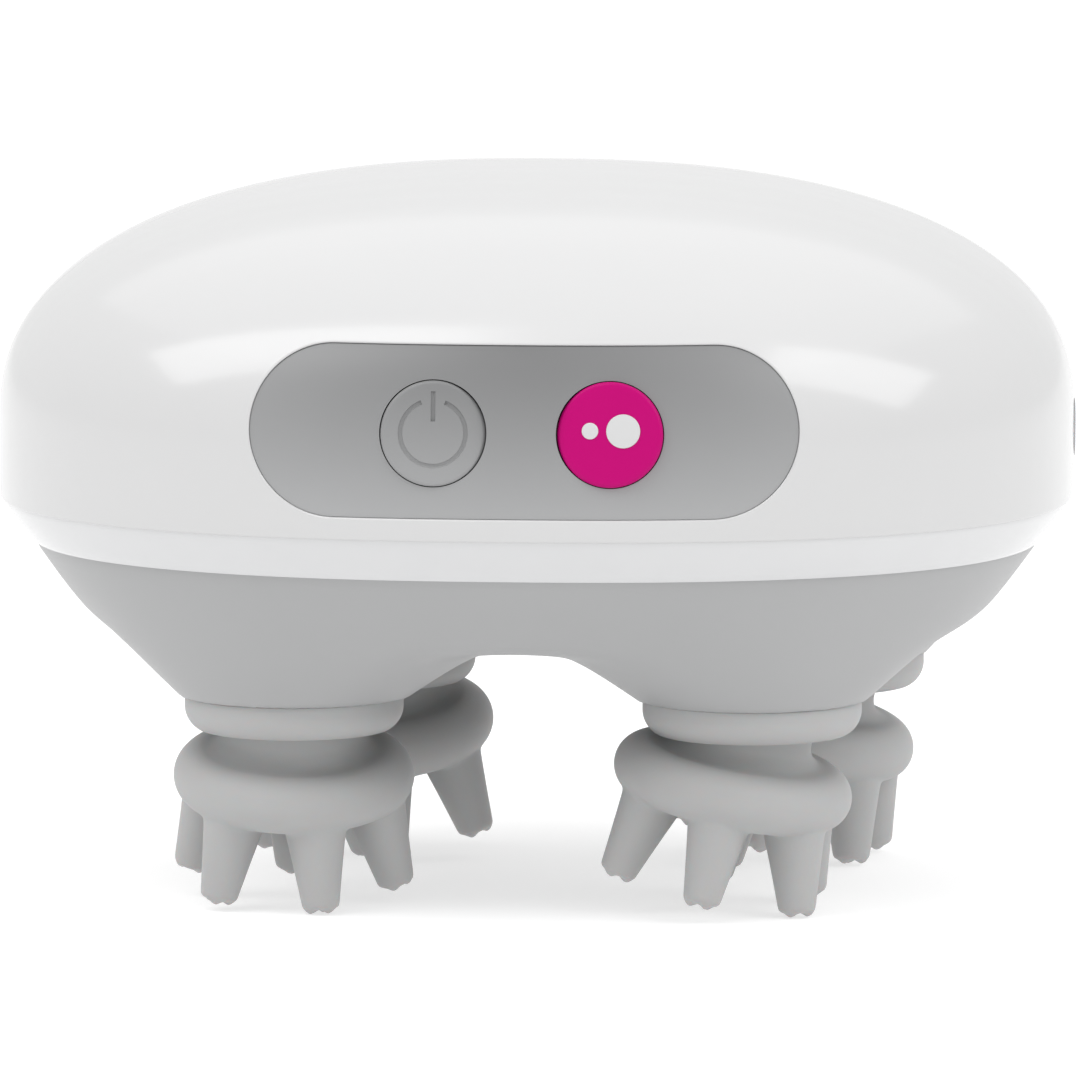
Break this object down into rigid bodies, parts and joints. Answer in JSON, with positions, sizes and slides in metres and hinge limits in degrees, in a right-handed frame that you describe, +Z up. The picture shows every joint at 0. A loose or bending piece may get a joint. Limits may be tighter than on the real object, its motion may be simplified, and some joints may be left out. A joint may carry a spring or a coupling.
{
  "type": "scalp massager brush",
  "caption": "Cordless hand-held scalp massager: domed casing with a button panel over studded silicone kneading heads on arched legs.",
  "frame": {"origin": "centre of the overall box at the height of the lowest fingertips", "axes": "+X to the right across the width, +Y from the control panel to the back, +Z up"},
  "size_m": [0.139, 0.114, 0.0935],
  "materials": {
    "white_shell": "glossy",
    "pearl_trim": "pearl satin",
    "grey_shell": "satin",
    "panel_grey": "satin",
    "magenta": "satin",
    "silicone": "matte soft silicone",
    "nylon": "moulded nylon",
    "black_plastic": "fine matte",
    "seal_rubber": "matte",
    "steel": "machined",
    "bronze": "machined",
    "cell_wrap": "shrink wrap",
    "board": "solder resist"
  },
  "bodies": {
    "root": {"top_shell": "white_shell", "trim_band": "pearl_trim", "lower_shell": "grey_shell", "control_panel": "panel_grey", "case_seal": "seal_rubber", "charging_socket": "black_plastic", "sun_arbor": "steel", "reduction_arbor": "steel", "motor_can": "steel", "motor_bracket": "steel", "chassis_plate": "black_plastic", "gear_cover_plate": "black_plastic", "battery_cell": "cell_wrap", "battery_cradle": "black_plastic", "circuit_board": "board", "power_switch": "black_plastic", "mode_switch": "black_plastic", "standoff_1": "bronze", "standoff_2": "bronze", "standoff_3": "bronze", "standoff_4": "bronze", "long_screw_1": "steel", "long_screw_2": "steel", "long_screw_3": "steel", "long_screw_4": "steel", "collar_front_left": "silicone", "collar_front_right": "silicone", "collar_back_left": "silicone", "collar_back_right": "silicone", "leg_bearing_front_left": "bronze", "leg_bearing_front_right": "bronze", "leg_bearing_back_left": "bronze", "leg_bearing_back_right": "bronze"},
    "sun": {"sun_gear": "nylon"},
    "reduction": {"reduction_gear": "nylon"},
    "rotor": {"motor_pinion": "steel"},
    "spindle_front_left": {"spindle_front_left": "steel"},
    "head_front_left": {"head_front_left": "silicone", "head_core_front_left": "nylon"},
    "spindle_front_right": {"spindle_front_right": "steel"},
    "head_front_right": {"head_front_right": "silicone", "head_core_front_right": "nylon"},
    "spindle_back_left": {"spindle_back_left": "steel"},
    "head_back_left": {"head_back_left": "silicone", "head_core_back_left": "nylon"},
    "spindle_back_right": {"spindle_back_right": "steel"},
    "head_back_right": {"head_back_right": "silicone", "head_core_back_right": "nylon"},
    "power_button": {"power_button": "panel_grey"},
    "mode_button": {"mode_button": "magenta", "mode_dot_small": "white_shell", "mode_dot_large": "white_shell"},
    "port_plug": {"port_plug": "silicone"}
  },
  "joints": [
    {"name": "sun_turn", "type": "hinge", "parent": "root", "child": "sun", "pos_m": [0.0026, 0, 0.05], "axis": [0, 0, 1], "continuous": true},
    {"name": "reduction_turn", "type": "hinge", "parent": "root", "child": "reduction", "pos_m": [-0.00005, 0.03023, 0.055], "axis": [0, 0, 1], "continuous": true},
    {"name": "motor_turn", "type": "hinge", "parent": "root", "child": "rotor", "pos_m": [0.0026, 0.01142, 0.06], "axis": [0, 0, 1], "continuous": true},
    {"name": "spindle_front_left_turn", "type": "hinge", "parent": "root", "child": "spindle_front_left", "pos_m": [-0.02945, -0.0247, 0.045], "axis": [0, 0, 1], "continuous": true},
    {"name": "head_front_left_rock", "type": "hinge", "parent": "spindle_front_left", "child": "head_front_left", "pos_m": [-0.02945, -0.0247, 0.0293], "axis": [0.0217, -0.2068, 0.9781], "continuous": true},
    {"name": "spindle_front_right_turn", "type": "hinge", "parent": "root", "child": "spindle_front_right", "pos_m": [0.02945, -0.0247, 0.045], "axis": [0, 0, 1], "continuous": true},
    {"name": "head_front_right_rock", "type": "hinge", "parent": "spindle_front_right", "child": "head_front_right", "pos_m": [0.02945, -0.0247, 0.0293], "axis": [0.1954, -0.0711, 0.9781], "continuous": true},
    {"name": "spindle_back_left_turn", "type": "hinge", "parent": "root", "child": "spindle_back_left", "pos_m": [-0.02425, 0.0247, 0.045], "axis": [0, 0, 1], "continuous": true},
    {"name": "head_back_left_rock", "type": "hinge", "parent": "spindle_back_left", "child": "head_back_left", "pos_m": [-0.02425, 0.0247, 0.0293], "axis": [-0.0573, -0.1999, 0.9781], "continuous": true},
    {"name": "spindle_back_right_turn", "type": "hinge", "parent": "root", "child": "spindle_back_right", "pos_m": [0.03465, 0.0247, 0.045], "axis": [0, 0, 1], "continuous": true},
    {"name": "head_back_right_rock", "type": "hinge", "parent": "spindle_back_right", "child": "head_back_right", "pos_m": [0.03465, 0.0247, 0.0293], "axis": [0.2008, -0.0538, 0.9781], "continuous": true},
    {"name": "power_button_press", "type": "slide", "parent": "root", "child": "power_button", "axis": [0, 0.9903, -0.1392], "range_m": [0, 0.0006], "stiffness_N_per_m": 400},
    {"name": "mode_button_press", "type": "slide", "parent": "root", "child": "mode_button", "axis": [0, 0.9903, -0.1392], "range_m": [0, 0.0006], "stiffness_N_per_m": 400},
    {"name": "port_plug_pull", "type": "slide", "parent": "root", "child": "port_plug", "axis": [1, 0, 0], "range_m": [0, 0.012]}
  ],
  "couplings": [
    {"joint": "reduction_turn", "follows": "sun_turn", "ratio": -2},
    {"joint": "motor_turn", "follows": "sun_turn", "ratio": 5.6},
    {"joint": "spindle_front_left_turn", "follows": "sun_turn", "ratio": -1},
    {"joint": "head_front_left_rock", "follows": "sun_turn", "ratio": 1},
    {"joint": "spindle_front_right_turn", "follows": "sun_turn", "ratio": -1},
    {"joint": "head_front_right_rock", "follows": "sun_turn", "ratio": 1},
    {"joint": "spindle_back_left_turn", "follows": "sun_turn", "ratio": -1},
    {"joint": "head_back_left_rock", "follows": "sun_turn", "ratio": 1},
    {"joint": "spindle_back_right_turn", "follows": "sun_turn", "ratio": -1},
    {"joint": "head_back_right_rock", "follows": "sun_turn", "ratio": 1}
  ]
}
